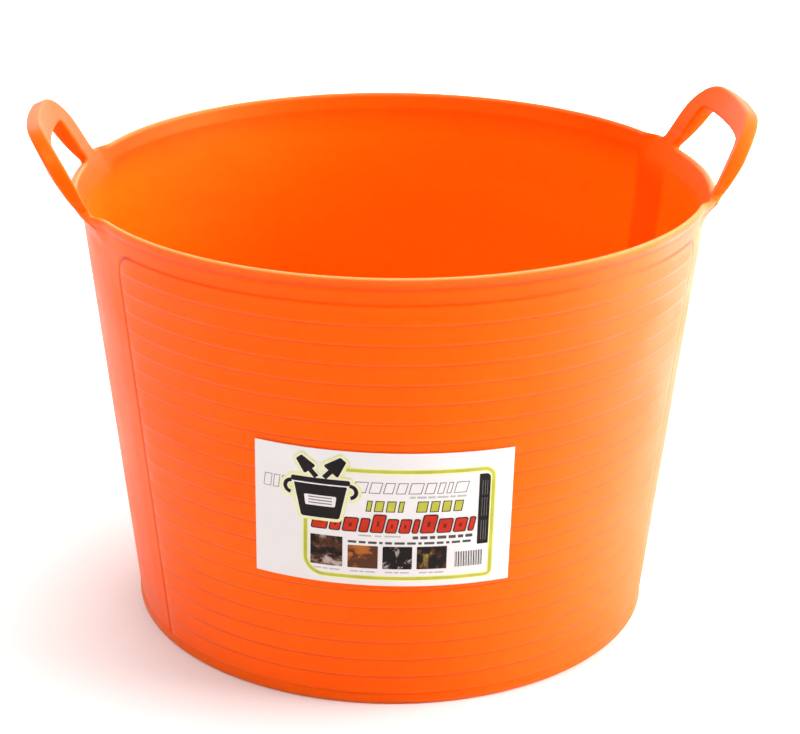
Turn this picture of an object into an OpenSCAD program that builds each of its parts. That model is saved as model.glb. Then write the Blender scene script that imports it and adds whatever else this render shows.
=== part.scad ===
// Flexible mixing tub: a tapered round tub with a ribbed wall and two loop handles.
// The origin is the centre of the base. +Z is up, the handles lie along X, the label faces -Y.

/* [Tub] */
// Outside diameter of the rim
rim_d = 450; // [440:1:460]
// Outside diameter of the wall at the floor
base_d = 380; // [370:1:390]
// Height of the rim above the floor it stands on
rim_z = 324; // [300:1:340]
// Thickness of the side wall
wall_t = 3.2; // [2.5:0.1:4]

/* [Foot and floor] */
// Height of the foot ring
foot_h = 9; // [7:0.5:12]
// How far the foot ring stands out from the wall
foot_out = 1.4; // [1:0.1:2.5]
// Radial width of the foot ring
foot_w = 7.5; // [6:0.5:10]
// Radius of the foot ring's outer bottom edge
foot_edge_r = 2.5; // [1:0.5:4]
// Thickness of the tub's floor
floor_t = 4; // [3:0.5:6]
// Gap between the floor and the ground
floor_lift = 2.5; // [1.5:0.5:3.5]
// Diameter of the moulding gate under the floor
gate_d = 24; // [16:1:40]

/* [Ribbed panels] */
// Number of bands in each ribbed panel
band_count = 21; // [10:1:30]
// Half of the angle that a ribbed panel covers
panel_half = 62.5; // [50:0.5:66]
// Thickness of a panel at the top of each band
panel_t = 0.6; // [0.4:0.1:1]
// How far each band flares out towards its lower edge
band_flare = 0.9; // [0.5:0.1:1.2]

/* [Rim] */
// Height of the rim section above the side wall
rim_h = 19; // [16:0.5:24]
// Height of the thick lip along the rim's top
lip_h = 7; // [5:0.5:9]
// How far the lip stands out from the wall
lip_out = 1.2; // [1:0.1:2.5]
// How far the lip stands in from the wall
lip_in = 1; // [0.5:0.1:1.5]
// Radius that rounds the lip's top edges
lip_edge_r = 2; // [1:0.5:2.5]

/* [Handles] */
// Angle between a handle and the vertical
handle_lean = 23; // [18:1:28]
// Thickness of a handle's bar
handle_t = 10.5; // [9:0.5:12]
// Length of a handle up its slope from its root
handle_l = 75; // [70:1:84]
// Half width of a handle at its root
handle_root_w = 80; // [78:1:82]
// Half width of a handle at its top, before the corners are rounded
handle_top_w = 64; // [60:1:68]
// Radius of the handle's top corners
handle_corner_r = 40; // [30:1:44]
// Height of the finger hole's lower edge up the slope
hole_base = 18; // [17:0.5:19]
// Height of the finger hole's upper edge up the slope
hole_top = 55; // [54:0.5:60]
// Half width of the finger hole at its lower edge
hole_base_w = 59; // [57:0.5:60]
// Half width of the finger hole at its upper edge
hole_top_w = 47; // [44:0.5:50]
// Radius of the finger hole's upper corners
hole_corner_r = 9; // [6:0.5:12]
// Height up the slope where the rim starts to thicken into a handle
sill_low = 11; // [9:0.5:13]
// Thickness of the sill under the finger hole
sill_t = 5.6; // [5:0.1:7]
// Thickness of a leg at the flex axis
leg_t = 8.8; // [8:0.1:9.5]
// Height up the slope where a leg reaches the handle's full thickness
full_h = 46; // [42:0.5:50]
// Half of the angle that a handle's root covers on the rim
root_half = 22; // [21:0.5:23]

/* [Handle flex line] */
// Height of the flex axis up the slope
flex_h = 32; // [31:0.5:33]
// Radius of the rounded foot of each handle leg
flex_r = 9; // [8.8:0.1:9.4]
// Gap between a leg's foot and its seat
flex_gap = 0.3; // [0.2:0.05:0.4]

/* [Label] */
// Width of the label, straight across
label_w = 170.4; // [140:0.1:200]
// Direction that the label's centre faces, seen from above
label_az = -98; // [-110:1:-90]
// Height of the label's lower edge
label_z = 98; // [80:1:110]
// Height of the label
label_h = 102; // [80:1:120]
// Thickness of the label
label_t = 0.3; // [0.2:0.05:0.5]

/* [Hidden] */
$fn = 96;
ORANGE = [1, 0.38, 0];
DEEP_ORANGE = [0.93, 0.33, 0.02];
WHITE = [0.97, 0.95, 0.94];
base_r = base_d / 2;
// The lip overhangs the wall, so the wall's own radius at the rim is smaller
top_r = rim_d / 2 - lip_out;
wall_top = rim_z - rim_h;
root_r = wall_r(wall_top) - wall_t;
band_h = (wall_top - foot_h) / band_count;
flex_z = root_point(flex_h, handle_t / 2)[1];
leg_outer = side_at(flex_h, handle_root_w, handle_top_w, 0, handle_l);
leg_inner = side_at(flex_h, hole_base_w, hole_top_w, hole_base, hole_top);
leg_mid = (leg_outer + leg_inner) / 2;
// The flex axis runs straight along Y through the middle of both legs
flex_x = sqrt(pow(root_point(flex_h, handle_t / 2)[0], 2) - pow(leg_mid, 2));

// Outside radius of the smooth wall at height z
function wall_r(z) = base_r + (top_r - base_r) * z / rim_z;

// Section point of a handle: h up its slope from the root, k outwards through its thickness
function root_point(h, k) = [
    root_r + h * sin(handle_lean) + k * cos(handle_lean),
    wall_top + h * cos(handle_lean) - k * sin(handle_lean)
];

// Half width at height h of a trapezoid with half width w0 at h0 and w1 at h1
function side_at(h, w0, w1, h0, h1) = w0 + (w1 - w0) * (h - h0) / (h1 - h0);

// Points of an arc of radius r that rounds corner b between a and c
function corner(a, b, c, r) =
    let (
        u = (a - b) / norm(a - b),
        v = (c - b) / norm(c - b),
        half = acos(u * v) / 2,
        centre = b + (u + v) / norm(u + v) * r / sin(half),
        from = b + u * r / tan(half) - centre,
        to = b + v * r / tan(half) - centre,
        steps = 8
    )
    [for (i = [0 : steps])
        let (mix = from * sin((90 - half) * 2 * (1 - i / steps)) + to * sin((90 - half) * 2 * i / steps))
        centre + mix / norm(mix) * r];

// Outer face of a handle: it swells from the wall's thickness at the sill to the full bar
function outer_face() = [
    root_point(sill_low, wall_t), root_point(hole_base, sill_t), root_point(flex_h, leg_t),
    root_point(full_h, handle_t), root_point(handle_l, handle_t)
];

// Outline across a handle and up its slope
function handle_outline() = concat(
    [[-handle_root_w, 0], [handle_root_w, 0]],
    corner([handle_root_w, 0], [handle_top_w, handle_l], [-handle_top_w, handle_l], handle_corner_r),
    corner([handle_top_w, handle_l], [-handle_top_w, handle_l], [-handle_root_w, 0], handle_corner_r)
);

// Outline of the finger hole
function hole_outline() = concat(
    [[-hole_base_w, hole_base], [hole_base_w, hole_base]],
    corner([hole_base_w, hole_base], [hole_top_w, hole_top], [-hole_top_w, hole_top], hole_corner_r),
    corner([hole_top_w, hole_top], [-hole_top_w, hole_top], [-hole_base_w, hole_base], hole_corner_r)
);

// A ring section turned through an angle centred on direction az
module sector(az, half, points) {
    rotate([0, 0, az - half])
        rotate_extrude(angle = 2 * half)
            polygon(points);
}

// A prism square to the right handle's slope, drawn across the handle and up the slope
module slope_prism(points) {
    reach = 40;
    translate([root_r, 0, wall_top])
        rotate([0, handle_lean, 0])
            rotate([90, 0, 90])
                translate([0, 0, -reach])
                    linear_extrude(2 * reach)
                        polygon(points);
}

// The right handle's bar as one curved arch, from its root to its top
module arch() {
    spare_angle = 4;
    intersection() {
        sector(0, root_half + spare_angle, concat(
            [root_point(0, 0), root_point(0, wall_t)],
            outer_face(),
            [root_point(handle_l, 0)]
        ));
        difference() {
            slope_prism(handle_outline());
            slope_prism(hole_outline());
        }
    }
}

// A bar along the right handle's flex axis, over each leg
module flex_bars(r, spare) {
    for (side = [-1, 1])
        translate([flex_x, side * leg_mid, flex_z])
            rotate([90, 0, 0])
                cylinder(r = r, h = leg_outer - leg_inner + spare, center = true);
}

// A block that holds everything over the flex axis
module over_flex_axis() {
    size = 600;
    translate([-size / 2, -size / 2, flex_z])
        cube(size);
}

module tub_floor() {
    color(DEEP_ORANGE)
        difference() {
            translate([0, 0, floor_lift])
                cylinder(r = base_r + foot_out - foot_w, h = floor_t);
            translate([0, 0, floor_lift - 1])
                cylinder(d = gate_d, h = 2);
        }
}

module foot_ring() {
    outer = base_r + foot_out;
    edge = [for (a = [0 : 15 : 90]) [
        outer - foot_edge_r + foot_edge_r * sin(a),
        foot_edge_r - foot_edge_r * cos(a)
    ]];
    color(DEEP_ORANGE)
        rotate_extrude()
            polygon(concat([[outer - foot_w, 0]], edge, [[outer, foot_h], [outer - foot_w, foot_h]]));
}

module side_wall() {
    color(ORANGE)
        rotate_extrude()
            polygon([
                [wall_r(foot_h) - wall_t, foot_h], [wall_r(foot_h), foot_h],
                [wall_r(wall_top), wall_top], [wall_r(wall_top) - wall_t, wall_top]
            ]);
}

// Bands like clapboards: each stands out furthest at its lower edge
module rib_panel(az) {
    bands = [for (i = [0 : band_count - 1])
        for (edge = [0, 1])
            let (z = wall_top - (i + edge) * band_h)
            [wall_r(z) + panel_t + band_flare * edge, z]];
    color(ORANGE)
        sector(az, panel_half, concat([[wall_r(foot_h), foot_h], [wall_r(wall_top), wall_top]], bands));
}

module front_rib_panel() {
    rib_panel(-90);
}

module back_rib_panel() {
    rib_panel(90);
}

// The rim between the two handles, with a thick lip along its top
module rim_arc(az) {
    outer = wall_r(rim_z) + lip_out;
    inner = wall_r(rim_z) - wall_t - lip_in;
    lip_z = rim_z - lip_h;
    turn = [0 : 15 : 90];
    outer_edge = [for (a = turn) [
        outer - lip_edge_r + lip_edge_r * cos(a),
        rim_z - lip_edge_r + lip_edge_r * sin(a)
    ]];
    inner_edge = [for (a = turn) [
        inner + lip_edge_r - lip_edge_r * sin(a),
        rim_z - lip_edge_r + lip_edge_r * cos(a)
    ]];
    color(ORANGE)
        sector(az, 90 - root_half, concat(
            [[wall_r(wall_top) - wall_t, wall_top], [wall_r(wall_top), wall_top]],
            [[wall_r(lip_z), lip_z], [outer, lip_z]],
            outer_edge,
            inner_edge,
            [[inner, lip_z], [wall_r(lip_z) - wall_t, lip_z - lip_in]]
        ));
}

module front_rim() {
    rim_arc(-90);
}

module back_rim() {
    rim_arc(90);
}

// Outline of a handle root: a sill wider than the sector that it trims, and two leg stubs
function root_outline() =
    let (
        spare = 20,
        wide = handle_root_w + spare,
        base_outer = side_at(hole_base, handle_root_w, handle_top_w, 0, handle_l),
        right = [
            [wide, -spare], [wide, hole_base], [base_outer, hole_base], [leg_outer, flex_h],
            [leg_inner, flex_h], [hole_base_w, hole_base]
        ]
    )
    concat(right, [for (i = [len(right) - 1 : -1 : 0]) [-right[i][0], right[i][1]]]);

// The sill under the finger hole and the two leg stubs, up to the flex axis
module handle_root() {
    past_the_leg = 8;
    color(ORANGE)
        difference() {
            intersection() {
                sector(0, root_half, concat(
                    [root_point(0, 0), [wall_r(wall_top), wall_top]],
                    outer_face(),
                    [root_point(handle_l, 0)]
                ));
                slope_prism(root_outline());
            }
            flex_bars(flex_r + flex_gap, past_the_leg);
        }
}

module right_handle_root() {
    handle_root();
}

module left_handle_root() {
    mirror([1, 0, 0])
        handle_root();
}

// The loop over the flex axis, on two rounded feet
module handle_loop() {
    color(ORANGE)
        union() {
            intersection() {
                arch();
                over_flex_axis();
            }
            flex_bars(flex_r, 0);
        }
}

module right_handle() {
    handle_loop();
}

module left_handle() {
    mirror([1, 0, 0])
        handle_loop();
}

// A rectangular sheet wrapped on the bands: upright planes cut its two sides
module label() {
    proud = panel_t + band_flare;
    top = label_z + label_h;
    spare_angle = 3;
    color(WHITE)
        intersection() {
            sector(label_az, asin(label_w / 2 / wall_r(label_z)) + spare_angle, [
                [wall_r(label_z) + proud, label_z], [wall_r(label_z) + proud + label_t, label_z],
                [wall_r(top) + proud + label_t, top], [wall_r(top) + proud, top]
            ]);
            rotate([0, 0, label_az])
                translate([0, -label_w / 2, 0])
                    cube([rim_d, label_w, rim_z]);
        }
}

tub_floor();
foot_ring();
side_wall();
front_rib_panel();
back_rib_panel();
front_rim();
back_rim();
left_handle_root();
right_handle_root();
left_handle();
right_handle();
label();
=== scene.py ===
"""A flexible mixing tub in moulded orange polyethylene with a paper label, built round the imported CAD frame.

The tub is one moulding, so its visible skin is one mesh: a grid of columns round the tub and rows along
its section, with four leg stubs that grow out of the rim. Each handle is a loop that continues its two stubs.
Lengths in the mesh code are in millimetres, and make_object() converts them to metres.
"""

from math import asin, cos, degrees, exp, hypot, radians, sin, sqrt, tan

import bmesh
import bpy
from mathutils import Matrix, Vector
from mathutils.geometry import tessellate_polygon


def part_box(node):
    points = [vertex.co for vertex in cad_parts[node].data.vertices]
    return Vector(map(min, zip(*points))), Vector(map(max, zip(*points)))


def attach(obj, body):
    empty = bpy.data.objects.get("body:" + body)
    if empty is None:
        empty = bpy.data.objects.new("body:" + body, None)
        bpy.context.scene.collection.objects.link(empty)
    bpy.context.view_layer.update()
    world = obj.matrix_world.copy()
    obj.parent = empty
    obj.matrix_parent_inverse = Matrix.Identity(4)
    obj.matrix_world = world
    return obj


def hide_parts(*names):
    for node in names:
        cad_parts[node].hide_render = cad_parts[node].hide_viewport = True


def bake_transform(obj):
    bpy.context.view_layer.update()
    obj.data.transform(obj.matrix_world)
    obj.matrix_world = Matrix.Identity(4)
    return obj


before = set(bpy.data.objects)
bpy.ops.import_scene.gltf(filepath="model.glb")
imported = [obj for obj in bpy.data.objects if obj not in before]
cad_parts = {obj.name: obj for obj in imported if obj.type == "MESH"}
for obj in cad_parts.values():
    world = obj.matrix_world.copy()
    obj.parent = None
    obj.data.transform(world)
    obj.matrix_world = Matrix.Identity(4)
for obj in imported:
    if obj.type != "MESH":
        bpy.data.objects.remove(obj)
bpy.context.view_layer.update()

MM = 0.001


def box_mm(node):
    """Lowest and highest corner of a CAD node, in millimetres."""
    low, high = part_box(node)
    return low / MM, high / MM


# ---------------------------------------------------------------- sizes from the frame, in millimetres
RIM_R = -box_mm("front_rim")[0].y
RIM_Z = box_mm("front_rim")[1].z
WALL_TOP = box_mm("side_wall")[1].z
WALL_TOP_R = box_mm("side_wall")[1].x
FOOT_TOP = box_mm("side_wall")[0].z
FOOT_R = box_mm("foot_ring")[1].x
FLOOR_R = box_mm("tub_floor")[1].x
FLOOR_LOW = box_mm("tub_floor")[0].z
FLOOR_HIGH = box_mm("tub_floor")[1].z
LABEL_LOW = box_mm("label")[0].z
LABEL_HIGH = box_mm("label")[1].z

# ---------------------------------------------------------------- sizes of the moulding
TAPER = 33.8 / 324
WALL_T = 3.2
FLOOR_FILLET = 9.0

# A ribbed panel: the angle to either side of its middle, its thickness at a band's top and lower edge, the
# radius of its upper corners, and the groove round it
BANDS = 21
BAND_H = (WALL_TOP - FOOT_TOP) / BANDS
PANEL_HALF = 62.5
PANEL_EDGE = 90 - PANEL_HALF
BAND_TOP = 0.3
BAND_PROUD = 1.5
PANEL_CORNER = 17.0
GROOVE_DEPTH = 0.7

# The lip along the rim's top, outside and inside
LIP_PROUD = 1.1
LIP_OUT_H = 7.0
LIP_IN_H = 11.5

# A handle, with half widths across and heights up its slope
LEAN = radians(23)
HANDLE_T = 10.5
HANDLE_EDGE = 2.0
HANDLE_L = 75.0
ROOT_W = 80.0
TOP_W = 64.0
TOP_CORNER = 40.0
HOLE_BASE = 18.0
HOLE_TOP = 55.0
HOLE_BASE_W = 59.0
HOLE_TOP_W = 47.0
HOLE_CORNER = 9.0
# Up the slope: the rim beside a leg, and where a leg stub ends and the handle's own mesh starts
SHOULDER_H = 20.7
CUT_H = 28.0
# Across the tub: the foot of each leg, fillets included
LEG_IN = 56.0
LEG_OUT = 79.3
ROOT_R = WALL_TOP_R - WALL_T
# The bar's thickness at heights up the slope: the rim swells from the wall's thickness into the full bar
SWELL = ((0.0, WALL_T), (11.0, WALL_T), (HOLE_BASE, 5.6), (32.0, 8.8), (46.0, HANDLE_T), (90.0, HANDLE_T))
# Inner radius of the lip's top, which leans out more than the wall does
LIP_IN_R = RIM_R - 2.9
# Radius at which a column's distance from the handle's middle is measured
COLUMN_R = 226.0


def wall_r(z):
    """Outside radius of the smooth wall at height z."""
    return WALL_TOP_R + (z - WALL_TOP) * TAPER


def mix(a, b, t):
    return a + (b - a) * t


def smooth(t):
    t = min(1.0, max(0.0, t))
    return t * t * (3 - 2 * t)


def slope_point(h, k):
    """(radius, height) of a point h up a handle's slope and k through its thickness."""
    return ROOT_R + h * sin(LEAN) + k * cos(LEAN), WALL_TOP + h * cos(LEAN) - k * sin(LEAN)


def bar_t(h):
    """Thickness of a handle's bar at height h up its slope, with the changes of slope eased."""
    def straight(x):
        for (h0, t0), (h1, t1) in zip(SWELL, SWELL[1:]):
            if x <= h1:
                return mix(t0, t1, max(0.0, x - h0) / (h1 - h0))

    return sum(straight(h + step) for step in (-2.5, -1, 0, 1, 2.5)) / 5


def leg_point(h, k, y):
    """A point of the right handle, y across from its middle."""
    r, z = slope_point(h, k)
    return Vector((sqrt(r * r - y * y), y, z))


# ---------------------------------------------------------------- mesh helpers
def make_object(name, bm, materials):
    """An object from a bmesh in millimetres, with closed surfaces facing out and smooth shading."""
    bmesh.ops.recalc_face_normals(bm, faces=bm.faces)
    for v in bm.verts:
        v.co *= MM
    for f in bm.faces:
        f.smooth = True
    mesh = bpy.data.meshes.new(name)
    bm.to_mesh(mesh)
    bm.free()
    obj = bpy.data.objects.new(name, mesh)
    bpy.context.scene.collection.objects.link(obj)
    for m in materials:
        mesh.materials.append(m)
    return obj


def bridge(bm, ring_a, ring_b):
    """Quads between two closed rings of vertices of equal length."""
    n = len(ring_a)
    for i in range(n):
        j = (i + 1) % n
        bm.faces.new((ring_a[i], ring_a[j], ring_b[j], ring_b[i]))


def flat_cap(bm, ring):
    """Closes a ring with a face that keeps its own flat normal."""
    cap = bm.faces.new(ring)
    for e in cap.edges:
        e.smooth = False


# ---------------------------------------------------------------- the shell's section, row by row
class Row:
    """One line round the tub: r and z where the rim is plain, (h, k) or (r, z) in a handle's root.

    across runs from 0 on the outside to 1 on the inside. band is set on the rows that carry the ribbed
    panels, and joint on those in the step between two bands.
    """

    def __init__(self, r, z, root=None, across=0.0, band=None, joint=False):
        self.r, self.z, self.root, self.across, self.band, self.joint = r, z, root, across, band, joint


def edge_chain(radius, thickness, steps=4, middle=2):
    """(distance through the thickness, drop below the top) over one rounded edge and on over the other."""
    turn = [radians(90 * i / steps) for i in range(steps + 1)]
    first = [(thickness - radius + radius * cos(a), radius * (1 - sin(a))) for a in turn]
    flat = [(mix(thickness - radius, radius, i / middle), 0.0) for i in range(1, middle)]
    return first + flat + [(thickness - k, drop) for k, drop in reversed(first)]


def bar_chain(h):
    """The rounded section of a handle's bar at height h up its slope."""
    return edge_chain(HANDLE_EDGE, bar_t(h))


CHAIN_COUNT = len(bar_chain(HANDLE_L))


def foot_rows():
    """The underside with its moulding gate, and the foot ring."""
    gate_r, gate_z, edge = 12.0, FLOOR_LOW + 1.0, 2.5
    ring_in = FLOOR_R
    rows = [Row(gate_r / 2, gate_z), Row(gate_r - 0.3, gate_z), Row(gate_r, FLOOR_LOW)]
    rows += [Row(mix(gate_r, ring_in - 4, t), FLOOR_LOW) for t in (0.08, 0.3, 0.5, 0.7, 0.85, 1)]
    rows += [Row(ring_in - 1.2, FLOOR_LOW - 0.3), Row(ring_in - 0.1, 1.2)]
    rows += [Row(ring_in + 0.4, 0.3), Row(ring_in + 1.2, 0)]
    rows += [Row(FOOT_R - edge - 1, 0)]
    rows += [
        Row(FOOT_R - edge + edge * sin(radians(a)), edge - edge * cos(radians(a))) for a in range(0, 91, 18)
    ]
    rows += [Row(FOOT_R, 5.0), Row(FOOT_R, FOOT_TOP - 1.3), Row(FOOT_R - 0.1, FOOT_TOP - 0.5)]
    rows += [Row(wall_r(FOOT_TOP) + 0.05, FOOT_TOP - 0.15)]
    return rows


def band_rows():
    """The wall's bands, from the foot up. band runs from 0 at a band's top to 1 at its lower edge.

    Rows sit closest at the step between two bands, and those of the top band make room for the rim's rows.
    """
    plain = (0.25, 0.9, 2.2, 4.6, 8.2, 12.4, 13.6)
    dense = (0.25, 0.9, 2.2, 3.5, 5.0, 6.5, 7.8)
    rows = []
    for b in reversed(range(BANDS)):
        low = WALL_TOP - (b + 1) * BAND_H
        for rise in plain if b else dense:
            lift = 0.55 if rise == plain[0] else 1 - (rise - plain[1]) / (BAND_H - plain[1])
            rows.append(Row(wall_r(low + rise), low + rise, band=lift, joint=rise in (plain[0], plain[-1])))
    return rows


def root_rows():
    """From the wall below a handle's root up to the top edge, on the outside."""
    low = WALL_TOP - 5.6
    lip = RIM_Z - LIP_OUT_H
    # (distance out from the wall's line, height), closest together in the groove along the panel's top
    plain = [(0, low + rise) for rise in (0, 1.6, 3, 4.1, 4.8, 5.25, 5.7, 6.3, 7.4)]
    plain += [(0, lip - 4), (0, lip - 0.8), (0.12, lip - 0.15)]
    plain += [(LIP_PROUD - 0.1, lip + 0.9), (RIM_R - wall_r(RIM_Z - 4.2), RIM_Z - 4.2)]
    roots = [("rz", (wall_r(z), z)) for z in (low, low + 1.6, low + 3)]
    roots += [("hk", (h, bar_t(h))) for h in (1.2, 3, 5, 7, 9, 10.6, 12, 13.2, 14.3, 15.3)] + [("top", 0)]
    rows = []
    for (out, z), root in zip(plain, roots):
        above = (z - (WALL_TOP - BAND_H)) / BAND_H
        rows.append(Row(wall_r(z) + out, z, root, band=1 - above if z < WALL_TOP + 3 else None))
    return rows


def top_rows():
    """Over the top of the rim: a rounded lip where it is plain, the leg's rounded section in the root."""
    outer_turn, inner_turn = 1.9, 0.8
    plain = []
    for a in (18, 40, 62, 82, 95):
        a = radians(min(a, 90))
        plain.append((RIM_R - outer_turn + outer_turn * cos(a), RIM_Z - outer_turn + outer_turn * sin(a)))
    for a in (90, 68, 46, 24, 8):
        a = radians(a)
        plain.append((LIP_IN_R + inner_turn - inner_turn * cos(a), RIM_Z - inner_turn + inner_turn * sin(a)))
    plain.insert(5, ((plain[4][0] + plain[5][0]) / 2, RIM_Z))
    plain[4] = (plain[4][0] - 0.1, RIM_Z)
    plain = plain[: CHAIN_COUNT - 1]
    rows = []
    for i, (r, z) in enumerate(plain, 1):
        rows.append(Row(r, z, ("top", i), across=i / (CHAIN_COUNT - 1)))
    return rows


def inner_rows():
    """The inner face of the rim and wall, the fillet and the floor."""
    rows = []
    # (depth below the rim's top, height up the slope in a handle's root)
    lip = [(LIP_IN_H - 1.6, 10.5), (LIP_IN_H, 8.5), (LIP_IN_H + 1.2, 6.5)]
    for drop, h in [(3.5, 14.5), (6, 12.5)] + lip + [(13, 4.5), (16, 2)]:
        z = RIM_Z - drop
        wall = wall_r(z) - WALL_T
        r = mix(LIP_IN_R, wall, drop / LIP_IN_H) if drop < LIP_IN_H else wall
        rows.append(Row(r, z, ("hk", (h, 0.0)), across=1.0))
    z = WALL_TOP - 0.5
    while z > FLOOR_HIGH + FLOOR_FILLET + 2:
        rows.append(Row(wall_r(z) - WALL_T, z, across=1.0))
        z -= BAND_H
    flat_r = wall_r(FLOOR_HIGH + FLOOR_FILLET) - WALL_T - FLOOR_FILLET
    for a in range(0, 91, 15):
        a = radians(a)
        rows.append(Row(flat_r + FLOOR_FILLET * cos(a), FLOOR_HIGH + FLOOR_FILLET * (1 - sin(a)), across=1.0))
    rows += [Row(flat_r * t, FLOOR_HIGH, across=1.0) for t in (0.93, 0.8, 0.62, 0.42, 0.24, 0.1)]
    return rows


OUTER = foot_rows() + band_rows() + root_rows()
TOP_FROM = len(OUTER) - 1
ROWS = OUTER + top_rows() + inner_rows()
TOP_TO = TOP_FROM + CHAIN_COUNT - 1


# ---------------------------------------------------------------- the shell's columns
def quarter_columns():
    """Azimuths from a handle's middle to the front, closer together at the legs and the panels' edges."""
    across = [4.0 * i for i in range(14)] + [54.3]
    first = len(across)
    across += [mix(LEG_IN, LEG_OUT, i / 8) for i in range(9)]
    across += [79.8, 80.2, 80.5, 80.8, 81.1, 81.5, 82.2, 84, 87, 90, 93, 96, 98.5]
    turn = [degrees(asin(y / COLUMN_R)) for y in across]
    beside = (-1.3, -0.95, -0.7, -0.52, -0.38, -0.25, -0.12, 0, 0.13, 0.27, 0.42, 0.6, 0.9, 1.3, 1.9, 2.7)
    turn += [PANEL_EDGE + d for d in beside]
    start, steps = turn[-1], 45
    turn += [mix(start, 90, i / steps) for i in range(1, steps + 1)]
    return turn, first, first + 8


COLUMNS, LEG_FROM, LEG_TO = quarter_columns()


def panel_place(azimuth, z):
    """(distance inside the panel's outline, 1 along its side falling to 0 in the middle of its top)."""
    across = radians(azimuth - PANEL_EDGE) * wall_r(z)
    below = WALL_TOP - z
    inside = min(across, below)
    if across < PANEL_CORNER and below < PANEL_CORNER:
        inside = PANEL_CORNER - hypot(PANEL_CORNER - across, PANEL_CORNER - below)
    return inside, smooth((PANEL_CORNER + 6 - across) / 12)


def panel_offset(azimuth, z, band):
    """How far the wall stands out for the ribbed panel, and in for the groove round it."""
    inside, side = panel_place(azimuth, z)
    # The bands' flare fades out towards the panel's edge
    flare = min(1.0, max(0.0, band)) ** 1.5 * smooth((inside - 0.5) / 9)
    proud = mix(BAND_TOP, BAND_PROUD, flare) * smooth((inside + 0.1) / 1.3)
    return proud - GROOVE_DEPTH * mix(0.55, 1.0, side) * exp(-(((inside + 1.0) / 0.95) ** 2))


def shell_point(azimuth, row):
    """Place of a row's vertex on the column at that azimuth, in the quarter with x and y above 0."""
    y_here = COLUMN_R * sin(radians(azimuth))
    r, z = row.r, row.z
    flare = smooth((92 - y_here) / 13)
    if z > WALL_TOP and row.root:
        r += flare * (tan(LEAN) - TAPER) * (z - WALL_TOP)
    if row.band is not None:
        r += panel_offset(azimuth, z, row.band)
    # A soft pillar of thicker plastic runs down the wall under each leg
    if row.across == 0 and row.band is not None:
        pillar = smooth((azimuth - 12.5) / 3) * smooth((25.5 - azimuth) / 3)
        r += 0.5 * pillar * smooth((WALL_TOP - 2 - z) / 12)
    if row.root:
        kind, at = row.root
        if kind == "top":
            top = mix(HOLE_BASE, SHOULDER_H, smooth((y_here - LEG_IN) / (LEG_OUT - LEG_IN)))
            k, drop = bar_chain(top)[at]
            root_r, root_z = slope_point(top - drop, k)
        elif kind == "hk":
            root_r, root_z = slope_point(*at)
        else:
            root_r, root_z = at
        side = smooth((81.4 - y_here) / 1.3)
        soft = smooth((89 - y_here) / 9)
        t = mix(side, soft, row.across)
        r, z = mix(r, root_r, t), mix(z, root_z, t)
    straight = smooth((z - 283) / 16) * smooth((112 - y_here) / 26)
    y = mix(r, COLUMN_R, straight) * sin(radians(azimuth))
    return Vector((sqrt(max(0.0, r * r - y * y)), y, z))


# ---------------------------------------------------------------- legs and handles
def outer_side(h):
    """Half width of a handle at height h up its slope."""
    return mix(ROOT_W, TOP_W, h / HANDLE_L)


def hole_side(h):
    """Half width of the finger hole at height h."""
    return mix(HOLE_BASE_W, HOLE_TOP_W, (h - HOLE_BASE) / (HOLE_TOP - HOLE_BASE))


def leg_ring(outer, outer_n, inner, inner_n):
    """(h, k, y) round a bar's section between a point on its outer side and one on the hole's side.

    The order follows the loop of shell vertices at a leg's foot: outside, far side, inside, near side.
    """
    def along(point, normal):
        y, h = point
        return [(h - drop * normal[1], k, y - drop * normal[0]) for k, drop in bar_chain(h)]

    far = along(outer, outer_n)
    near = along(inner, inner_n)
    n = LEG_TO - LEG_FROM

    def between(a, b):
        return [tuple(mix(p, q, i / n) for p, q in zip(a, b)) for i in range(1, n)]

    return [near[0]] + between(near[0], far[0]) + far + between(far[-1], near[-1]) + near[:0:-1]


def fillet_rings():
    """Sections of a leg stub from just above its foot to the cut."""
    rings = []
    for a in range(15, 91, 15):
        a = radians(a)
        h_out = SHOULDER_H + 3.3 * (1 - cos(a))
        h_in = HOLE_BASE + 3.0 * (1 - cos(a))
        y_out = outer_side(h_out) + (LEG_OUT - outer_side(SHOULDER_H)) * (1 - sin(a))
        y_in = hole_side(h_in) - (HOLE_BASE_W - LEG_IN) * (1 - sin(a))
        rings.append(leg_ring((y_out, h_out), (sin(a), cos(a)), (y_in, h_in), (-sin(a), cos(a))))
    for t in (0.5, 1):
        h_out, h_in = mix(SHOULDER_H + 3.3, CUT_H, t), mix(HOLE_BASE + 3.0, CUT_H, t)
        rings.append(leg_ring((outer_side(h_out), h_out), (1, 0), (hole_side(h_in), h_in), (-1, 0)))
    return rings


def rounded_path(start, corner, radius, steps):
    """Points and outward normals from start up to a rounded corner and on to the middle, y = 0."""
    up = (Vector(start) - Vector(corner)).normalized()
    in_ = Vector((-1.0, 0.0))
    half = up.angle(in_) / 2
    reach = radius / tan(half)
    centre = Vector(corner) + (up + in_).normalized() * radius / sin(half)
    first, last = Vector(corner) + up * reach, Vector(corner) + in_ * reach
    leg_n = (first - centre).normalized()
    path = [(mix(Vector(start), first, i / steps[0]), leg_n) for i in range(steps[0])]
    sweep = leg_n.angle_signed(Vector((0.0, 1.0)))
    for i in range(steps[1] + 1):
        n = Matrix.Rotation(-sweep * i / steps[1], 2) @ leg_n
        path.append((centre + n * radius, n))
    middle, up = Vector((0.0, last.y)), Vector((0.0, 1.0))
    return path + [(mix(last, middle, i / steps[2]), up) for i in range(1, steps[2] + 1)]


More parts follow.
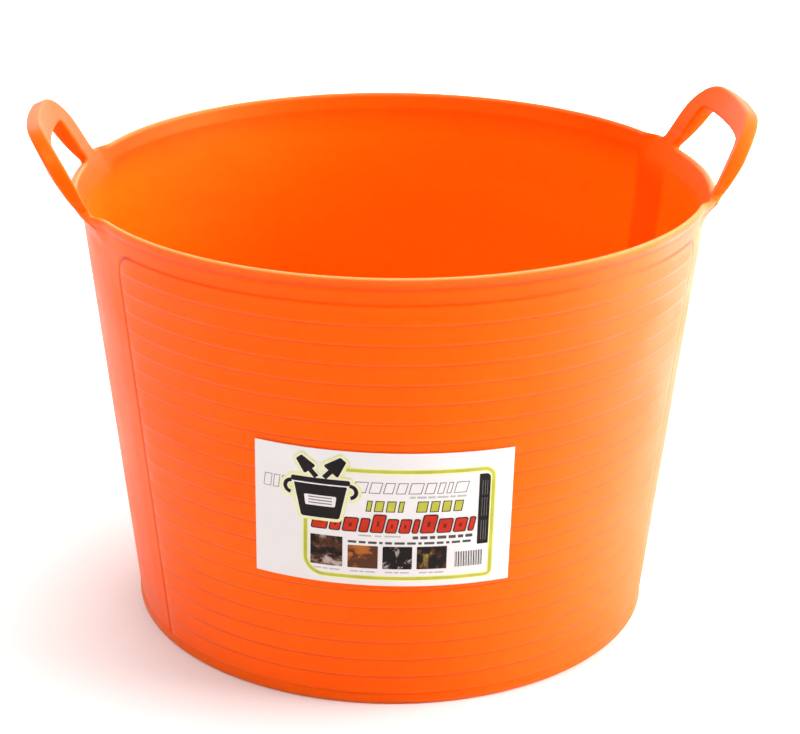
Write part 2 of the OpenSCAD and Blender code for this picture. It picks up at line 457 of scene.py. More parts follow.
def handle_rings():
    """Sections of the right handle from one leg's cut over its top to the other's."""
    steps = (5, 14, 6)
    outer = rounded_path((outer_side(CUT_H), CUT_H), (TOP_W, HANDLE_L), TOP_CORNER, steps)
    inner = rounded_path((hole_side(CUT_H), CUT_H), (HOLE_TOP_W, HOLE_TOP), HOLE_CORNER, steps)
    half = [leg_ring(o, on, i, -inn) for (o, on), (i, inn) in zip(outer, inner)]
    # The first section is the stub's own last one, so that the two meshes meet without a step
    half[0] = fillet_rings()[-1]
    return half + [[(h, k, -y) for h, k, y in ring] for ring in reversed(half[:-1])]


def painted_glow_share(azimuth, row, side):
    """1 on the inner faces, where the light that shines through the wall is painted, less along the legs'
    pillars, whose shade is painted, most on the right, 0 outside.
    """
    pillar = smooth((azimuth - 13.2) / 1.6) * smooth((24.6 - azimuth) / 1.6) * (1.0 if side > 0 else 0.15)
    pillar *= smooth((row.z - FLOOR_HIGH - 6) / 14)
    return (1 - pillar) * smooth((WALL_TOP + 6 - row.z) / 14) if row.across == 1 else 0.0


def crease_shade_share(azimuth, row):
    """Share of painted shade: 1 in the groove beside a panel, less along its top, between bands and under the
    lip, and 0 elsewhere.
    """
    share = 0.0
    if row.across == 0 and abs(row.z - (RIM_Z - LIP_OUT_H)) < 1.2 and row.root:
        share = 0.45
    if row.band is not None:
        inside, side = panel_place(azimuth, row.z)
        share = mix(0.4, 1.0, side) * exp(-(((inside + 0.5) / 1.25) ** 2))
        if row.joint:
            share = max(share, 0.5 * smooth((inside - 3) / 6))
    return share


def rim_highlight_share(azimuth, row):
    """1 on the top of the rim, where a pale highlight is painted, less on the sill of a finger hole, and 0
    elsewhere.
    """
    if not row.root or row.root[0] != "top":
        return 0.0
    y_here = COLUMN_R * sin(radians(azimuth))
    rim, sill = smooth((y_here - 84) / 10), 0.6 * smooth((54 - y_here) / 8)
    return smooth((row.z - RIM_Z + 1.6) / 0.8) * max(rim, sill)


def tub_shell(material):
    """The whole moulding but its two handle loops."""
    bm = bmesh.new()
    # Shares of painted light for each vertex: the glow through the wall, the shade in grooves and joints, and
    # the highlight on the rim's top
    inside = bm.verts.layers.float.new("inside")
    painted_crease_shade = bm.verts.layers.float.new("painted_crease_shade")
    wear_and_highlight = bm.verts.layers.float.new("painted_rim_highlight")
    last = len(COLUMNS) - 1
    walk = [(1, 1, i) for i in range(last + 1)]
    walk += [(-1, 1, i) for i in range(last - 1, -1, -1)]
    walk += [(-1, -1, i) for i in range(1, last + 1)]
    walk += [(1, -1, i) for i in range(last - 1, 0, -1)]
    quarter = [[shell_point(a, row) for row in ROWS] for a in COLUMNS]
    grid = []
    for sx, sy, i in walk:
        grid.append([bm.verts.new((sx * p.x, sy * p.y, p.z)) for p in quarter[i]])
        for v, row in zip(grid[-1], ROWS):
            v[inside] = painted_glow_share(COLUMNS[i], row, sx)
            v[painted_crease_shade] = crease_shade_share(COLUMNS[i], row)
            v[wear_and_highlight] = rim_highlight_share(COLUMNS[i], row)
    n = len(walk)

    def in_leg(c, row):
        a, b = walk[c][2], walk[(c + 1) % n][2]
        return LEG_FROM <= min(a, b) and max(a, b) <= LEG_TO and TOP_FROM <= row < TOP_TO

    for c in range(n):
        here, there = grid[c], grid[(c + 1) % n]
        for j in range(len(ROWS) - 1):
            if not in_leg(c, j):
                bm.faces.new((here[j], there[j], there[j + 1], here[j + 1]))
    for j, z in ((0, ROWS[0].z), (len(ROWS) - 1, FLOOR_HIGH)):
        centre = bm.verts.new((0, 0, z))
        centre[inside] = 1.0 if j else 0.0
        for c in range(n):
            bm.faces.new((grid[c][j], grid[(c + 1) % n][j], centre))
    for sx, sy in ((1, 1), (-1, 1), (-1, -1), (1, -1)):
        column = {walk[c][2]: grid[c] for c in range(n) if walk[c][0] == sx and walk[c][1] == sy}
        leg = range(LEG_FROM, LEG_TO + 1)
        ring = [column[i][TOP_FROM] for i in leg]
        ring += [column[LEG_TO][j] for j in range(TOP_FROM + 1, TOP_TO + 1)]
        ring += [column[i][TOP_TO] for i in reversed(leg[:-1])]
        ring += [column[LEG_FROM][j] for j in range(TOP_TO - 1, TOP_FROM, -1)]
        for section in fillet_rings():
            points = [leg_point(*p) for p in section]
            above = [bm.verts.new((sx * p.x, sy * p.y, p.z)) for p in points]
            bridge(bm, ring, above)
            ring = above
        flat_cap(bm, ring)
    return make_object("tub_moulding", bm, [material])


def handle_loop(name, side, material):
    """A handle's loop over its two leg stubs. side is 1 on the right and -1 on the left."""
    bm = bmesh.new()
    rings = []
    for section in handle_rings():
        points = [leg_point(*p) for p in section]
        rings.append([bm.verts.new((side * p.x, p.y, p.z)) for p in points])
    for a, b in zip(rings, rings[1:]):
        bridge(bm, a, b)
    flat_cap(bm, rings[0])
    flat_cap(bm, rings[-1])
    return make_object(name, bm, [material])


# ---------------------------------------------------------------- the label, flat in (x, y) and then wrapped
LABEL_AZ = radians(-98)
# It was stuck on a little out of level
LABEL_TILT = radians(1.0)
LABEL_T = 0.3
LABEL_PROUD = BAND_PROUD
LABEL_H = LABEL_HIGH - LABEL_LOW
# Width straight across, a little under the CAD label's 170.4, and the width along the sheet round the wall
LABEL_ACROSS = 170.0
LABEL_R = wall_r(149.0)
LABEL_W = 2 * LABEL_R * asin(LABEL_ACROSS / 2 / LABEL_R)
# Height of one layer of ink over the layer under it
INK_LIFT = 0.02


def label_point(x, y, lift):
    """A point x from the label's left edge and y above its lower edge, lift proud of the wall's bands."""
    across, up = x - LABEL_W / 2, y - LABEL_H / 2
    z = LABEL_LOW + LABEL_H / 2 + up - across * sin(LABEL_TILT)
    r = wall_r(z) + LABEL_PROUD + lift
    turn = LABEL_AZ + (across + up * sin(LABEL_TILT)) / r
    return Vector((r * cos(turn), r * sin(turn), z))


def label_sheet(material):
    """The label's stock: a thin closed sheet wrapped on the wall."""
    bm = bmesh.new()
    nx, ny, edge = 72, 12, 0.6
    xs = [0, edge] + [mix(edge, LABEL_W - edge, i / nx) for i in range(1, nx)] + [LABEL_W - edge, LABEL_W]
    ys = [0, edge] + [mix(edge, LABEL_H - edge, i / ny) for i in range(1, ny)] + [LABEL_H - edge, LABEL_H]
    layers = []
    for lift in (0.0, LABEL_T - 0.02):
        layers.append([[bm.verts.new(label_point(x, y, lift)) for y in ys] for x in xs])
    low, high = layers
    for layer in layers:
        for a, b in zip(layer, layer[1:]):
            for j in range(len(ys) - 1):
                bm.faces.new((a[j], b[j], b[j + 1], a[j + 1]))

    def outline(grid):
        return [r[0] for r in grid] + grid[-1][1:] + [r[-1] for r in reversed(grid[:-1])] + grid[0][-2:0:-1]

    bridge(bm, outline(low), outline(high))
    return make_object("label_sheet", bm, [material])


def rounded(points, radius, steps=5):
    """A closed outline with each corner rounded. radius is one number, or one for each corner."""
    n = len(points)
    radii = radius if isinstance(radius, (list, tuple)) else [radius] * n
    out = []
    for i, r in enumerate(radii):
        b = Vector(points[i])
        if r <= 0:
            out.append(tuple(b))
            continue
        u, v = (Vector(points[i - 1]) - b).normalized(), (Vector(points[(i + 1) % n]) - b).normalized()
        half = u.angle(v) / 2
        centre = b + (u + v).normalized() * r / sin(half)
        p, q = b + u * r / tan(half) - centre, b + v * r / tan(half) - centre
        for s in range(steps + 1):
            t = s / steps
            w = (p * sin((1 - t) * p.angle(q)) + q * sin(t * p.angle(q))) / sin(p.angle(q))
            out.append(tuple(centre + w.normalized() * r))
    return out


def at(u, v):
    """Label millimetres from fractions: u from the left and v from the top."""
    return (u * LABEL_W, (1 - v) * LABEL_H)


def bar(u0, u1, v0, v1, radius=0.4, slant=0.0):
    """A bar between two fractions each way, leaning by slant millimetres."""
    (x0, y1), (x1, y0) = at(u0, v0), at(u1, v1)
    return rounded([(x0, y0), (x1, y0), (x1 + slant, y1), (x0 + slant, y1)], radius, 3)


def blocks(u0, u1, v0, v1, widths, gap, slant=0.0, radius=0.35):
    """A row of bars whose widths share the row out, standing for a line of print. Widths below 0 are gaps."""
    total = sum(abs(w) for w in widths) + gap * (len(widths) - 1)
    bars, x = [], 0.0
    for w in widths:
        if w > 0:
            bars.append(bar(mix(u0, u1, x / total), mix(u0, u1, (x + w) / total), v0, v1, radius, slant))
        x += abs(w) + gap
    return bars


def ribbon(points, width):
    """The outline of a line of some width along an open path."""
    left, right = [], []
    for i, p in enumerate(points):
        a, b = Vector(points[max(0, i - 1)]), Vector(points[min(len(points) - 1, i + 1)])
        n = (b - a).normalized()
        n = Vector((-n.y, n.x)) * width / 2
        left.append(tuple(Vector(p) + n))
        right.append(tuple(Vector(p) - n))
    return left + right[::-1]


def arc(cx, cy, r, start, end, steps=16):
    """Points of an arc, angles in degrees."""
    turn = [radians(mix(start, end, i / steps)) for i in range(steps + 1)]
    return [(cx + r * cos(a), cy + r * sin(a)) for a in turn]


def wrap_print(bm, loops, lift, slot):
    """Adds one flat shape, with any holes, to the print, wrapped on the label."""
    loops = loops if isinstance(loops[0], list) else [loops]
    flat = [[Vector((x, y, 0)) for x, y in loop] for loop in loops]
    points = [p for loop in flat for p in loop]
    part = bmesh.new()
    verts = [part.verts.new(p) for p in points]
    for tri in tessellate_polygon(flat):
        part.faces.new([verts[i] for i in tri])
    low, high = min(p.x for p in points), max(p.x for p in points)
    step = 5.0
    x = low + step
    while x < high:
        geom = part.verts[:] + part.edges[:] + part.faces[:]
        bmesh.ops.bisect_plane(part, geom=geom, plane_co=(x, 0, 0), plane_no=(1, 0, 0))
        x += step
    part.verts.index_update()
    placed = [bm.verts.new(label_point(v.co.x, v.co.y, LABEL_T + lift)) for v in part.verts]
    for f in part.faces:
        face = bm.faces.new([placed[v.index] for v in f.verts])
        face.material_index = slot
    part.free()


# The middle of the emblem's lower edge
EMBLEM_PLACE = (at(0.262, 0)[0], at(0, 0.51)[1])


def emblem():
    """A generic pictogram of a tub with a trowel and a float over it, in label millimetres."""
    cx, base = EMBLEM_PLACE
    wall_high, rim_low, rim_high = base + 25, base + 26, base + 30
    wall = [(cx - 13, base), (cx + 13, base), (cx + 18, wall_high), (cx - 18, wall_high)]
    tub = rounded(wall, [2, 2, 0.6, 0.6])
    lip = rounded([(cx - 20, rim_low), (cx + 20, rim_low), (cx + 20, rim_high), (cx - 20, rim_high)], 1.4)
    tools = []
    for side, length, wide in ((-1, 12.0, 5.2), (1, 13.0, 6.6)):
        foot = Vector((cx + side * 2.5, base + 30.8))
        way = Vector((side * 0.66, 0.75))
        off = Vector((way.y, -way.x))
        root, tip = foot + way * 6.5, foot + way * (6.5 + length)
        tools.append(ribbon([tuple(foot), tuple(root)], 3.6))
        tools.append(rounded([tuple(root - off * wide), tuple(root + off * wide),
                              tuple(tip + off * 2.6), tuple(tip - off * 2.6)], 1.2))
    for side in (-1, 1):
        tools.append(ribbon(arc(cx + side * 19.5, base + 21.5, 4.6, 90 - side * 170, 90, 14), 2.8))
    return [tub, lip] + tools


def grown(outline, by):
    """An outline with every point moved outwards from its own middle line, for a halo."""
    n = len(outline)
    pairs = zip(outline, outline[1:] + outline[:1])
    side = 1 if sum(a[0] * b[1] - b[0] * a[1] for a, b in pairs) > 0 else -1
    out = []
    for i in range(n):
        a, b, c = Vector(outline[i - 1]), Vector(outline[i]), Vector(outline[(i + 1) % n])
        n1, n2 = (b - a), (c - b)
        n1 = Vector((n1.y, -n1.x)).normalized() if n1.length > 1e-6 else Vector((0, 0))
        n2 = Vector((n2.y, -n2.x)).normalized() if n2.length > 1e-6 else Vector((0, 0))
        m = n1 + n2
        m = m.normalized() if m.length > 1e-6 else n1
        out.append(tuple(b + m * by * side))
    return out


def glyphs(u0, u1, v0, v1, widths, gap, slant):
    """A row of plain blocks of two heights, each with a slot, standing for a word in heavy print."""
    solid, slots = [], []
    total = sum(widths) + gap * (len(widths) - 1)
    x = 0.0
    for i, w in enumerate(widths):
        top = v0 if i % 4 == 0 else mix(v0, v1, 0.24)
        a, b = mix(u0, u1, x / total), mix(u0, u1, (x + w) / total)
        solid.append(bar(a, b, top, v1, 0.9, slant * (v1 - top) / (v1 - v0)))
        if w > 5:
            low, high = mix(top, v1, 0.66), mix(top, v1, 0.36)
            lean = slant * (v1 - low) / (v1 - v0)
            (x0, y1), (x1, y0) = at(mix(a, b, 0.40), high), at(mix(a, b, 0.62), low)
            slots.append([(x0 + lean, y0), (x1 + lean, y0), (x1 + lean + 0.4, y1), (x0 + lean + 0.4, y1)])
        x += w + gap
    return solid, slots


def label_print(inks):
    """Everything printed on the label, as thin shapes just proud of it."""
    bm = bmesh.new()
    order = list(inks)

    def put(shapes, ink, level):
        for s in shapes:
            wrap_print(bm, s, INK_LIFT * level, order.index(ink))

    def outlined(shapes, line, fill, width):
        put(shapes, line, 1)
        put([grown(s, -width) for s in shapes], fill, 2)

    # The lime line that frames the print, open behind the emblem
    corner_r = 6.5
    right, top, bottom, left = at(0.92, 0)[0], at(0, 0.135)[1], at(0, 0.94)[1], at(0.205, 0)[0]
    path = [(at(0.352, 0)[0], top)] + arc(right - corner_r, top - corner_r, corner_r, 90, 0)
    path += arc(right - corner_r / 2, bottom + corner_r / 2, corner_r / 2, 0, -90, 8)
    path += arc(left + 2 * corner_r, bottom + 2 * corner_r, 2 * corner_r, -90, -180, 16)
    path.append((left, at(0, 0.48)[1]))
    put([ribbon(path, 3.9)], "pale_lime", 1)
    put([ribbon(path, 2.3)], "lime", 2)
    figures = emblem()
    put([grown(f, 2.3) for f in figures], "pale_lime", 11)
    put([grown(f, 0.7) for f in figures], "stock_white", 12)
    put(figures, "black", 13)
    cx, base = EMBLEM_PLACE
    put([rounded([(cx - 10, base + 9), (cx + 10, base + 9), (cx + 11, base + 17), (cx - 11, base + 17)], 1)],
        "stock_white", 14)
    lines = [base + 11 + i * 2.2 for i in range(3)]
    put([ribbon([(cx - 8, y), (cx + 8, y)], 0.9) for y in lines], "grey", 15)
    # Rows of print, as plain blocks
    outlined(blocks(0.035, 0.15, 0.235, 0.33, (5, 4, 3, 3), 1.2, 1.2, 0), "grey", "stock_white", 0.7)
    outlined(blocks(0.385, 0.815, 0.215, 0.298, (8, 7, 6, 6, 8, 6, 4, 3, 8), 1.6, 2.0, 0),
             "grey", "stock_white", 0.9)
    put(blocks(0.60, 0.815, 0.315, 0.330, (3, 5, 4, 6, 3, 5), 0.8), "pale_grey", 1)
    outlined(blocks(0.435, 0.80, 0.352, 0.435, (3, 5, 5, 3, -4, 6, 5, 5, 5), 1.5, 1.2, 0),
             "black", "lime", 0.9)
    letters, slots = glyphs(0.228, 0.845, 0.458, 0.588, (9, 6, 8, 5, 7, 6, 6, 3, 8, 8, 7, 3), 1.9, 2.6)
    put([grown(b, 0.55) for b in letters], "black", 8)
    put([grown(b, -0.25) for b in letters], "red", 9)
    put(slots, "dark_red", 10)
    put(blocks(0.615, 0.845, 0.615, 0.638, (3, 4, 3, 5, 4, 3, 4), 1.2), "dark_grey", 1)
    put(blocks(0.41, 0.57, 0.612, 0.624, (4, 2, 5), 1.0), "pale_grey", 1)
    put(blocks(0.37, 0.84, 0.660, 0.678, (5, 4, 5, 2, 4, 6, 5, 2, 6, 4, 2, 5, 5), 1.4), "dark_grey", 1)
    # Four small pictures with captions
    for i, (u0, u1) in enumerate(((0.225, 0.35), (0.37, 0.485), (0.503, 0.615), (0.633, 0.748))):
        put([bar(u0, u1, 0.64 if i == 0 else 0.695, 0.868, 0.3)], f"picture_{i}", 3)
        put(blocks(u0 + 0.01, u1 - 0.01, 0.889, 0.900, (5, 3, 6), 0.8), "pale_grey", 1)
    # A generic bar code and a dark strip beside it
    x, stop, i = at(0.780, 0)[0], at(0.888, 0)[0], 0
    while x < stop:
        wide = 0.36 + 0.26 * ((i * 7) % 3)
        (_, y1), (_, y0) = at(0, 0.745), at(0, 0.862)
        put([[(x, y0), (x + wide, y0), (x + wide, y1), (x, y1)]], "dark_grey", 1)
        x += wide + 0.34 + 0.2 * ((i * 5) % 3)
        i += 1
    (x0, y0), (x1, y1) = at(0.864, 0.70), at(0.908, 0.17)
    put([rounded([(x0, y0), (x1, y0), (x1, y1), (x0, y1)], [0.5, 0.5, 3.4, 0.5])], "black", 3)
    for u in (0.878, 0.888, 0.897):
        xs = at(u, 0)[0]
        for v0, v1 in ((0.22, 0.33), (0.35, 0.49), (0.52, 0.67)):
            put([ribbon([(xs, at(0, v0)[1]), (xs, at(0, v1)[1])], 0.3)], "grey", 4)
    return make_object("label_print", bm, [inks[name] for name in order])


# ---------------------------------------------------------------- materials
def node_tree(name):
    """A new material: (material, its node tree, its Principled node, a maker of linked nodes)."""
    m = bpy.data.materials.new(name)
    m.use_nodes = True
    tree = m.node_tree
    shader = tree.nodes["Principled BSDF"]

    def add(kind, links=None, **values):
        node = tree.nodes.new(kind)
        for key, value in values.items():
            if hasattr(node, key):
                setattr(node, key, value)
            else:
                node.inputs[key.replace("_", " ")].default_value = value
        for socket, source in (links or {}).items():
            tree.links.new(source, node.inputs[socket])
        return node

    return m, tree, shader, add


def ramp(node, *stops):
    """Sets a colour ramp's stops: (position, colour)."""
    elements = node.color_ramp.elements
    while len(elements) > 1:
        elements.remove(elements[-1])
    elements[0].position, elements[0].color = stops[0][0], (*stops[0][1], 1)
    for position, colour in stops[1:]:
        elements.new(position).color = (*colour, 1)


def tub_plastic():
    """Glossy translucent orange polyethylene, slightly mottled and scuffed, with edges a little paler from wear
    and a soft wave; painted light gives the inner faces a glow, the grooves and joints a darker shade and the
    rim's top a pale highlight.
    """
    m, tree, shader, add = node_tree("tub_plastic")
    place = add("ShaderNodeTexCoord").outputs["Object"]
    cloud = add("ShaderNodeTexNoise", {"Vector": place}, Scale=7.0, Detail=3.0, Roughness=0.5)
    base = add("ShaderNodeValToRGB", {"Fac": cloud.outputs["Fac"]})
    ramp(base, (0.3, (0.95, 0.106, 0.0006)), (0.7, (0.98, 0.126, 0.001)))
    # Painted light: the inner faces are painted lighter for the light that shines through the wall, with
    # painted shade along the legs' pillars
    glow = add("ShaderNodeAttribute", attribute_name="inside")
    lit = add("ShaderNodeMix", data_type="RGBA")
    tree.links.new(glow.outputs["Fac"], lit.inputs[0])
    tree.links.new(base.outputs["Color"], lit.inputs[6])
    lit.inputs[7].default_value = (0.985, 0.178, 0.001, 1)
    # Fine scuffs run mostly round the tub, where it is dragged and stacked
    turned = add("ShaderNodeMapping", {"Vector": place})
    turned.inputs["Scale"].default_value = (90, 90, 420)
    scratch = add("ShaderNodeTexNoise", {"Vector": turned.outputs["Vector"]},
                  Scale=1.0, Detail=5.0, Roughness=0.62)
    scuff = add("ShaderNodeValToRGB", {"Fac": scratch.outputs["Fac"]})
    ramp(scuff, (0.62, (0, 0, 0)), (0.80, (1, 1, 1)))
    # Painted shade: grooves, the joints between bands and the face under the lip are painted a deeper, darker
    # orange
    painted_crease_shade = add("ShaderNodeAttribute", attribute_name="painted_crease_shade")
    crease_shaded = add("ShaderNodeMix", data_type="RGBA")
    tree.links.new(painted_crease_shade.outputs["Fac"], crease_shaded.inputs[0])
    tree.links.new(lit.outputs[2], crease_shaded.inputs[6])
    crease_shaded.inputs[7].default_value = (0.42, 0.022, 0.0004, 1)
    wear_and_highlight = add("ShaderNodeMix", data_type="RGBA")
    scuff_share = add("ShaderNodeMath", {0: scuff.outputs["Color"]}, operation="MULTIPLY")
    scuff_share.inputs[1].default_value = 0.07
    tree.links.new(scuff_share.outputs[0], wear_and_highlight.inputs[0])
    tree.links.new(crease_shaded.outputs[2], wear_and_highlight.inputs[6])
    wear_and_highlight.inputs[7].default_value = (1.0, 0.42, 0.2, 1)
    # Edges are rubbed a little paler, and a pale highlight is painted on the rim's top and the finger holes'
    # sills
    point = add("ShaderNodeNewGeometry").outputs["Pointiness"]
    edge = add("ShaderNodeMapRange", {"Value": point}, From_Min=0.52, From_Max=0.62, To_Min=0.0, To_Max=0.12)
    rim = add("ShaderNodeAttribute", attribute_name="painted_rim_highlight")
    share = add("ShaderNodeMath", {0: rim.outputs["Fac"], 2: edge.outputs["Result"]},
                operation="MULTIPLY_ADD")
    share.inputs[1].default_value = 0.5
    rubbed_and_highlighted = add("ShaderNodeMix", data_type="RGBA")
    tree.links.new(share.outputs[0], rubbed_and_highlighted.inputs[0])
    tree.links.new(wear_and_highlight.outputs[2], rubbed_and_highlighted.inputs[6])
    rubbed_and_highlighted.inputs[7].default_value = (1.0, 0.40, 0.15, 1)
    tree.links.new(rubbed_and_highlighted.outputs[2], shader.inputs["Base Color"])
    # Gloss varies in soft patches, and scuffs are duller
    patch = add("ShaderNodeTexNoise", {"Vector": place}, Scale=16.0, Detail=4.0, Roughness=0.6)
    gloss = add("ShaderNodeMapRange", {"Value": patch.outputs["Fac"]},
                From_Min=0.3, From_Max=0.7, To_Min=0.36, To_Max=0.50)
    dull = add("ShaderNodeMath", {0: scuff.outputs["Color"]}, operation="MULTIPLY_ADD")
    dull.inputs[1].default_value = 0.14
    tree.links.new(gloss.outputs["Result"], dull.inputs[2])
    tree.links.new(dull.outputs[0], shader.inputs["Roughness"])
    # A moulded wave, then a fine grain
    wave_at = add("ShaderNodeMapping", {"Vector": place})
    wave_at.inputs["Scale"].default_value = (9, 9, 16)
    wave = add("ShaderNodeTexNoise", {"Vector": wave_at.outputs["Vector"]}, Scale=1.0, Detail=2.0)
    soft = add("ShaderNodeBump", {"Height": wave.outputs["Fac"]}, Strength=0.5, Distance=0.004)
    grain = add("ShaderNodeTexNoise", {"Vector": place}, Scale=900.0, Detail=2.0)
    fine = add("ShaderNodeBump", {"Height": grain.outputs["Fac"], "Normal": soft.outputs["Normal"]},
               Strength=0.12, Distance=0.0004)
    tree.links.new(fine.outputs["Normal"], shader.inputs["Normal"])
    shader.inputs["IOR"].default_value = 1.5
    shader.inputs["Specular IOR Level"].default_value = 0.46
    shader.inputs["Specular Tint"].default_value = (1.0, 0.4, 0.08, 1)
    shader.inputs["Subsurface Weight"].default_value = 0.6
    shader.inputs["Subsurface Radius"].default_value = (1.0, 0.45, 0.1)
    shader.inputs["Subsurface Scale"].default_value = 0.01
    return m


def paper(name, light, dark, roughness=(0.45, 0.6), scale=60.0):
    """Coated label paper or ink: a faint mottle in colour and gloss, and a fine tooth."""
    m, tree, shader, add = node_tree(name)
    place = add("ShaderNodeTexCoord").outputs["Object"]
    cloud = add("ShaderNodeTexNoise", {"Vector": place}, Scale=scale, Detail=4.0, Roughness=0.6)
    tint = add("ShaderNodeValToRGB", {"Fac": cloud.outputs["Fac"]})
    ramp(tint, (0.35, dark), (0.65, light))
    tree.links.new(tint.outputs["Color"], shader.inputs["Base Color"])
    gloss = add("ShaderNodeMapRange", {"Value": cloud.outputs["Fac"]}, From_Min=0.3, From_Max=0.7,
                To_Min=roughness[0], To_Max=roughness[1])
    tree.links.new(gloss.outputs["Result"], shader.inputs["Roughness"])
    tooth = add("ShaderNodeTexNoise", {"Vector": place}, Scale=1400.0, Detail=3.0)
    bump = add("ShaderNodeBump", {"Height": tooth.outputs["Fac"]}, Strength=0.15, Distance=0.0002)
    tree.links.new(bump.outputs["Normal"], shader.inputs["Normal"])
    shader.inputs["Specular IOR Level"].default_value = 0.12
    return m


def picture(name, colours, scale):
    """A small printed picture: soft dark and warm patches."""
    m, tree, shader, add = node_tree(name)
    place = add("ShaderNodeTexCoord").outputs["Object"]
    swirl = add("ShaderNodeTexNoise", {"Vector": place},
                Scale=scale, Detail=6.0, Roughness=0.65, Distortion=0.6)
    tint = add("ShaderNodeValToRGB", {"Fac": swirl.outputs["Fac"]})
    ramp(tint, *[(0.40 + 0.24 * i / (len(colours) - 1), c) for i, c in enumerate(colours)])
    tree.links.new(tint.outputs["Color"], shader.inputs["Base Color"])
    gloss = add("ShaderNodeMapRange", {"Value": swirl.outputs["Fac"]},
                From_Min=0.3, From_Max=0.7, To_Min=0.45, To_Max=0.6)
    tree.links.new(gloss.outputs["Result"], shader.inputs["Roughness"])
    bump = add("ShaderNodeBump", {"Height": swirl.outputs["Fac"]}, Strength=0.08, Distance=0.0002)
    tree.links.new(bump.outputs["Normal"], shader.inputs["Normal"])
    shader.inputs["Specular IOR Level"].default_value = 0.12
    return m


def label_inks():
    """The label's inks by name."""
    inks = {
        "black": paper("ink_black", (0.014, 0.010, 0.009), (0.007, 0.005, 0.005)),
        "dark_grey": paper("ink_dark_grey", (0.09, 0.08, 0.08), (0.06, 0.055, 0.055)),
        "red": paper("ink_red", (0.60, 0.035, 0.012), (0.48, 0.022, 0.008)),
        "dark_red": paper("ink_dark_red", (0.20, 0.015, 0.008), (0.15, 0.010, 0.006)),
        "lime": paper("ink_lime", (0.52, 0.52, 0.070), (0.43, 0.42, 0.050)),
        "pale_lime": paper("ink_pale_lime", (0.80, 0.80, 0.36), (0.74, 0.74, 0.30)),
        "grey": paper("ink_grey", (0.22, 0.21, 0.21), (0.17, 0.165, 0.165)),
        "pale_grey": paper("ink_pale_grey", (0.50, 0.48, 0.47), (0.42, 0.40, 0.39)),
        "stock_white": paper("ink_white", (0.80, 0.765, 0.76), (0.76, 0.725, 0.72)),
    }
    black, brown, orange = (0.009, 0.007, 0.006), (0.09, 0.03, 0.014), (0.42, 0.12, 0.02)
    grey, lime = (0.45, 0.36, 0.32), (0.30, 0.26, 0.05)
    inks["picture_0"] = picture("print_picture_0", (black, black, brown, grey), 60.0)
    inks["picture_1"] = picture("print_picture_1", (brown, brown, orange, orange), 55.0)
    inks["picture_2"] = picture("print_picture_2", (black, black, black, grey), 130.0)
    inks["picture_3"] = picture("print_picture_3", (black, black, brown, lime), 70.0)
    return inks


# ---------------------------------------------------------------- build the object
plastic = tub_plastic()
shell = tub_shell(plastic)
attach(shell, "tub")
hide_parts("tub_floor", "foot_ring", "side_wall", "front_rib_panel", "back_rib_panel", "front_rim",
            "back_rim", "left_handle_root", "right_handle_root")

# A handle's loop goes on from its two leg stubs at their cuts
for name, side in (("left", -1), ("right", 1)):
    loop = handle_loop(f"{name}_handle_loop", side, plastic)
    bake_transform(loop)
    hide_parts(f"{name}_handle")

stock = label_sheet(paper("label_stock", (0.80, 0.765, 0.76), (0.76, 0.725, 0.72), scale=22.0))
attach(stock, "tub")
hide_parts("label")
ink = label_print(label_inks())
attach(ink, "tub")


# ---------------------------------------------------------------- floor, light and camera
def pale_floor():
    """A wide pale studio floor."""
    m, tree, shader, add = node_tree("studio_floor")
    place = add("ShaderNodeTexCoord").outputs["Object"]
    cloud = add("ShaderNodeTexNoise", {"Vector": place}, Scale=1.5, Detail=3.0)
    tint = add("ShaderNodeValToRGB", {"Fac": cloud.outputs["Fac"]})
    ramp(tint, (0.3, (0.90, 0.895, 0.89)), (0.7, (0.93, 0.925, 0.92)))
    tree.links.new(tint.outputs["Color"], shader.inputs["Base Color"])
    shader.inputs["Roughness"].default_value = 0.6
    shader.inputs["Specular IOR Level"].default_value = 0.2
    bm = bmesh.new()
    bmesh.ops.create_circle(bm, cap_ends=True, cap_tris=True, segments=96, radius=14.0 / MM)
    floor = make_object("studio_floor", bm, [m])
    for f in floor.data.polygons:
        f.use_smooth = False


def softbox(name, place, aim, size, power, spread=180):
    """A square area light at place that faces aim. Lengths are in metres, the spread is in degrees."""
    data = bpy.data.lights.new(name, "AREA")
    data.shape = "SQUARE"
    data.size = size
    data.energy = power
    data.spread = radians(spread)
    light = bpy.data.objects.new(name, data)
    light.location = place
    light.rotation_mode = "QUATERNION"
    light.rotation_quaternion = (Vector(aim) - Vector(place)).to_track_quat("-Z", "Y")
    bpy.context.scene.collection.objects.link(light)


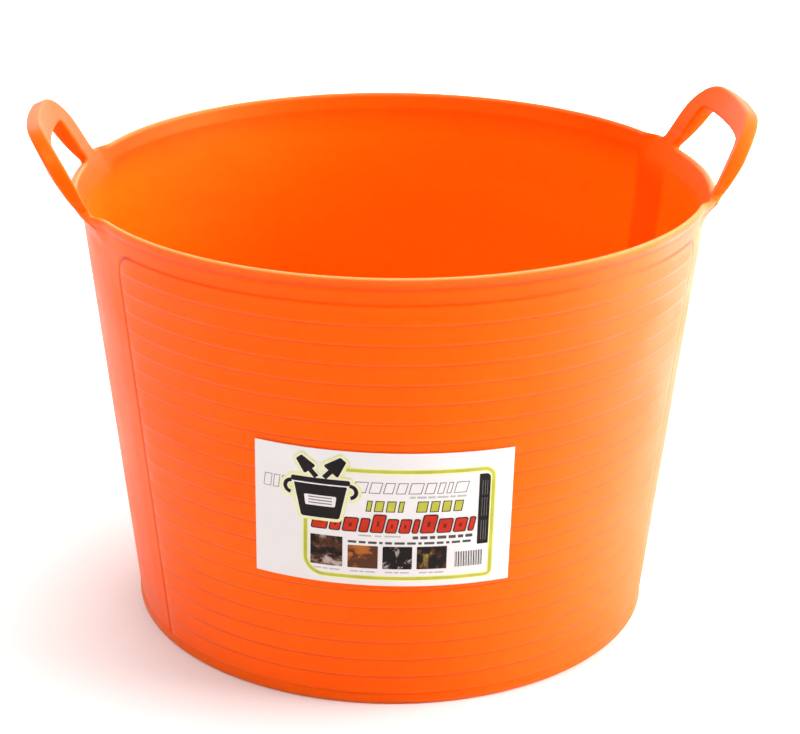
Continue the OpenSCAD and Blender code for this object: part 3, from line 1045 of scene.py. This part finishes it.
def studio():
    """A bright studio: strong light from the right, weaker from the left, and a white wall that glows behind.

    The world's glow is lobes of (direction, strength), each fading to nothing at right angles to its direction.
    """
    world = bpy.data.worlds.new("studio")
    world.use_nodes = True
    tree = world.node_tree
    way = tree.nodes.new("ShaderNodeTexCoord").outputs["Generated"]
    total = None
    for direction, strength in (((0.55, 0.835, 0.0), 2.5), ((0.0, -1.0, 0.0), 0.35)):
        facing = tree.nodes.new("ShaderNodeVectorMath")
        facing.operation = "DOT_PRODUCT"
        facing.inputs[1].default_value = direction
        tree.links.new(way, facing.inputs[0])
        glow = tree.nodes.new("ShaderNodeMapRange")
        glow.inputs["To Max"].default_value = strength
        tree.links.new(facing.outputs["Value"], glow.inputs["Value"])
        if total is None:
            total = glow.outputs["Result"]
        else:
            both = tree.nodes.new("ShaderNodeMath")
            tree.links.new(total, both.inputs[0])
            tree.links.new(glow.outputs["Result"], both.inputs[1])
            total = both.outputs[0]
    background = tree.nodes["Background"]
    background.inputs["Color"].default_value = (1.0, 0.985, 0.975, 1)
    tree.links.new(total, background.inputs["Strength"])
    bpy.context.scene.world = world
    aim = (0.0, 0.0, 0.15)
    softbox("key_right", (2.2, -0.45, 0.95), aim, 1.7, 62.0)
    softbox("low_right", (1.35, -0.40, 0.34), aim, 0.6, 6.0)
    softbox("overhead", (0.1, 0.1, 2.4), aim, 1.6, 45.0)
    softbox("left_high", (-1.5, -0.9, 2.0), aim, 1.0, 27.0)
    # Two narrow beams brighten the floor that the right wall and the handles reflect
    softbox("floor_right", (0.85, 0.15, 0.75), (0.85, 0.15, 0.0), 0.8, 8.0, spread=60)
    softbox("floor_back", (0.6, 1.3, 0.9), (0.6, 1.3, 0.0), 1.2, 35.0, spread=60)
    bpy.context.scene.view_settings.view_transform = "Standard"


def photo_camera():
    """A long lens at the height and turn of the reference view."""
    distance, aim_z = 1.5915, 0.1739
    pitch, yaw, roll, turn = radians(22.17), radians(0.228), radians(0.581), radians(-6.5)
    data = bpy.data.cameras.new("camera")
    data.sensor_width = 36.0
    data.lens = 96.45
    data.clip_end = 60.0
    camera = bpy.data.objects.new("camera", data)
    place = Vector((0, -distance * cos(pitch), aim_z + distance * sin(pitch)))
    look = Vector((sin(yaw) * cos(pitch), cos(yaw) * cos(pitch), -sin(pitch)))
    level = look.cross(Vector((0, 0, 1))).normalized()
    up = level.cross(look)
    right = cos(roll) * level + sin(roll) * up
    up = cos(roll) * up - sin(roll) * level
    axes = Matrix((right, up, -look)).transposed()
    around = Matrix.Rotation(turn, 4, "Z")
    camera.matrix_world = around @ Matrix.Translation(place) @ axes.to_4x4()
    bpy.context.scene.collection.objects.link(camera)
    bpy.context.scene.camera = camera


pale_floor()
studio()
photo_camera()
